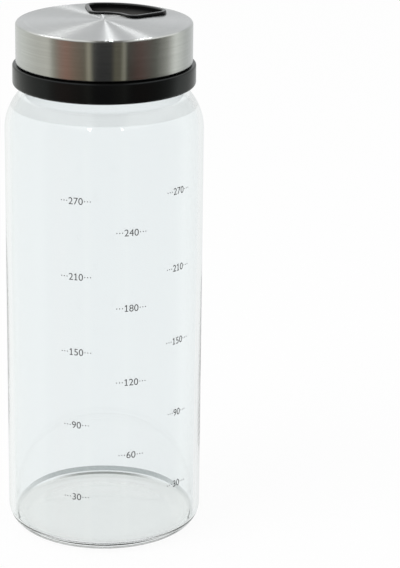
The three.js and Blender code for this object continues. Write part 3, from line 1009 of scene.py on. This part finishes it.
# Deep in the window the black is painted lighter: painted light for the light that reaches down there.
painted_light = recipe.fall(z, *PAINTED_LIGHT_DEPTH) * recipe.fall(radius, *PAINTED_LIGHT_REACH)
black = recipe.blend(cloud, (0.003, 0.003, 0.003), (0.006, 0.006, 0.006))
recipe.surface(
    Base_Color=recipe.blend(painted_light, black, PAINTED_LIGHT_COLOUR),
    Roughness=0.14 + cloud * 0.08,
    Specular_IOR_Level=0.24,
    Specular_Tint=(0.82, 0.93, 1),
    Coat_Weight=recipe.rise(z, *RUBBED_HEIGHT) * 0.3,
    Coat_Roughness=0.2,
    Normal=recipe.bump(recipe.noise(spot, TEXTURE_SCALE), distance=0.00002, strength=0.4),
)
coat(plastic, collar, plate, bezel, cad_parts["rotor_cap"])

# %% [markdown]
# ## Ink and silicone
# The ink is a thin matt layer that is never quite even, and the seals are milky silicone, faintly dusty. A
# flat colour would look pasted on, so fine noise varies both. The seals, like the rotor in its black
# plastic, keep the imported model's solids under their finish, because nearly all of them is hidden.

# %% Ink
INK_SPECKLE = 4000

ink, recipe = new_finish("scale_ink")
speckle = recipe.noise(recipe.spot(), INK_SPECKLE, detail=3)
recipe.surface(
    Base_Color=recipe.blend(speckle, (0.04, 0.04, 0.043), (0.13, 0.13, 0.135)),
    Roughness=0.5 + speckle * 0.2,
)
coat(ink, scale_print)

# %% Silicone
SEAL_DUST = 900

silicone, recipe = new_finish("white_silicone")
dust = recipe.noise(recipe.spot(), SEAL_DUST, detail=4)
recipe.surface(
    Base_Color=recipe.blend(dust, (0.72, 0.72, 0.69), (0.86, 0.86, 0.83)),
    Roughness=0.5 + dust * 0.2,
    Normal=recipe.bump(dust, distance=0.00003, strength=0.3),
)
coat(silicone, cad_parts["neck_gasket"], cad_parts["dial_seal"])

# %% [markdown]
# ## The table
# The shaker stands on a white table that runs into the white of the picture. Light strong enough to turn a
# table white would wash out the shaker too. So a Mix Shader shows rays from the camera, and rays through
# the glass, mostly plain white, and the small rest is a lit surface that keeps the shaker's shadow.

# %% Table
TABLE_SIDE = 4
TABLE_WHITE = 0.95
TABLE_WHITE_THROUGH_GLASS = 0.9

start_clean()
bpy.ops.mesh.primitive_plane_add(size=TABLE_SIDE, location=(0, 0, 0))
table = bpy.context.object
table.name = "table_top"
table.visible_glossy = False
table_paint, recipe = new_finish("white_table")
seen, _, bent = recipe.rays()
lit = recipe.node("ShaderNodeBsdfDiffuse", None, {"Color": (0.9, 0.9, 0.9)})
white = recipe.node("ShaderNodeEmission", None, {"Color": (1, 1, 1), "Strength": 1.0})
share = seen * TABLE_WHITE + bent * TABLE_WHITE_THROUGH_GLASS
mixed = recipe.node("ShaderNodeMixShader", None, {0: share, 1: lit, 2: white})
recipe.node("ShaderNodeOutputMaterial", None, {"Surface": mixed})
coat(table_paint, table)

# %% [markdown]
# ## The room
# Glass and steel look like glass and steel only through what they mirror. Walls and furniture could be
# modelled for that, but a world painted by direction costs nothing to render. To the camera it is plain
# white. Mirrored rays find upright bands: a dark side behind the camera with two bright lines in it, warm
# walls beside them and a pale room at the back. High up, the sides are bright, which draws the line along
# the cap's edge, and the front is lighter above the lid, so that the top isn't black from behind.

# %% Bands of the room
# Degrees to the right of the camera's side, and the colour seen there.
WALLS = [
    (-180, (0.8, 0.81, 0.82)),
    (-130, (0.84, 0.86, 0.8)),
    (-96, (0.7, 0.7, 0.63)),
    (-77, (0.72, 0.71, 0.63)),
    (-69, (0.34, 0.33, 0.27)),
    (-60, (0.32, 0.21, 0.16)),
    (-50, (0.34, 0.18, 0.13)),
    (-40, (0.23, 0.16, 0.11)),
    (-25, (0.14, 0.12, 0.08)),
    (-20, (0.5, 0.47, 0.35)),
    (-15, (0.06, 0.06, 0.05)),
    (-11, (0.03, 0.03, 0.03)),
    (10, (0.03, 0.03, 0.03)),
    (14, (0.14, 0.13, 0.09)),
    (22, (0.11, 0.1, 0.07)),
    (26, (0.46, 0.45, 0.35)),
    (30, (0.03, 0.03, 0.02)),
    (48, (0.09, 0.04, 0.03)),
    (70, (0.11, 0.11, 0.09)),
    (90, (0.37, 0.37, 0.33)),
    (105, (0.95, 0.97, 0.9)),
    (130, (0.64, 0.66, 0.63)),
    (180, (0.8, 0.81, 0.82)),
]
print("room painted with", len(WALLS), "bands")

# %% Room
LEFT_SIDE = (-0.25, -0.12)
RIGHT_SIDE = (0.3, 0.42)
HIGH_UP = (0.45, 0.6)
FRONT = (0.2, 0.5)
ABOVE_LID = (0.12, 0.2)
FRONT_LIGHT = (0.2, 0.2, 0.19)
SIDE_LIGHT = (1.25, 1.25, 1.2)
PLAIN_LIGHT = (0.7, 0.7, 0.7)
WHITE = (1, 1, 1)
WHITE_THROUGH_GLASS = 0.9

world = bpy.data.worlds.new("studio")
world.use_nodes = True
bpy.context.scene.world = world
recipe = Recipe(world.node_tree)
x, y, z = recipe.parts(recipe.node("ShaderNodeTexCoord", out="Generated"))
turn_share = recipe.angle(x, 0 - y) / math.tau + 0.5
stops = [((degrees + 180) / 360, colour) for degrees, colour in WALLS]
painted = recipe.node("ShaderNodeValToRGB", {"stops": stops}, {0: turn_share})
raised = recipe.rise(z, *ABOVE_LID) * recipe.rise(0 - y, *FRONT)
beside = recipe.rise(x, *RIGHT_SIDE) + recipe.fall(x, *LEFT_SIDE)
walls = recipe.blend(raised, painted, FRONT_LIGHT)
walls = recipe.blend(recipe.rise(z, *HIGH_UP) * beside, walls, SIDE_LIGHT)
seen, mirrored, bent = recipe.rays()
around = recipe.blend(mirrored, PLAIN_LIGHT, walls)
through = recipe.blend(WHITE_THROUGH_GLASS, painted, WHITE)
sky = recipe.blend(seen, recipe.blend(bent, around, through), WHITE)
background = recipe.node("ShaderNodeBackground", None, {"Color": sky, "Strength": 1.0})
recipe.node("ShaderNodeOutputWorld", None, {"Surface": background})
print(world.name, "is the world")

# %% [markdown]
# ## Lamps
# A large soft lamp from the upper left gives the plain light of a studio. The other lamps are only seen
# mirrored. Two tall ones beside the camera draw the small glints on the glass. Behind the shaker and above
# it, a narrow one draws the streak on the steel top, and two broad ones draw its wedges. Painted on the
# world they would show in every piece, so each is a lamp that light linking gives to its one piece.

# %% Lamps
LAMP_DISTANCE = 1.2
LAMP_AIM_HEIGHT = 0.16


def lamp(name, around, up, size, power):
    """A rectangular lamp aimed at the lid, at an angle from the camera's side and one above the table."""
    around, up = math.radians(around), math.radians(up)
    flat = LAMP_DISTANCE * math.cos(up)
    height = LAMP_AIM_HEIGHT + LAMP_DISTANCE * math.sin(up)
    place = (flat * math.sin(around), -flat * math.cos(around), height)
    start_clean()
    bpy.ops.object.light_add(type="AREA", location=place, rotation=(math.pi / 2 - up, 0, around))
    made = bpy.context.object
    made.name = name
    made.data.shape = "RECTANGLE"
    made.data.size, made.data.size_y = size
    made.data.energy = power
    print(name, "at", [round(length, 2) for length in place])
    return made


soft_lamp = lamp("soft_lamp", around=-55, up=45, size=(0.7, 0.7), power=8)
soft_lamp.visible_glossy = False
soft_lamp.visible_transmission = False
glint_lamps = [
    lamp("left_tall_lamp", around=-19, up=32, size=(0.08, 0.12), power=0.5),
    lamp("right_tall_lamp", around=23, up=32, size=(0.05, 0.12), power=0.2),
]
top_lamps = [
    lamp("streak_lamp", around=175.6, up=60, size=(0.006, 0.15), power=1.3),
    lamp("right_wedge_lamp", around=157, up=53, size=(0.1, 0.1), power=1.3),
    lamp("left_wedge_lamp", around=-154, up=48, size=(0.2, 0.2), power=1.1),
]
for piece, its_lamps in ((jar, glint_lamps), (shell, top_lamps)):
    only = bpy.data.collections.new(piece.name + "_only")
    only.objects.link(piece)
    for mirrored_lamp in its_lamps:
        mirrored_lamp.visible_diffuse = False
        mirrored_lamp.visible_transmission = False
        mirrored_lamp.light_linking.receiver_collection = only

# %% [markdown]
# ## Last words
# The view transform is Standard, so a colour comes out as it is written. Light crosses the thick base many
# times, and with Blender's usual number of bounces it would be lost there and leave the glass dark, so more
# are allowed.

# %% View transform and bounces
BOUNCES = 64
bpy.context.scene.view_settings.view_transform = "Standard"
bpy.context.scene.cycles.max_bounces = BOUNCES
bpy.context.scene.cycles.transmission_bounces = BOUNCES
bpy.context.scene.cycles.glossy_bounces = BOUNCES
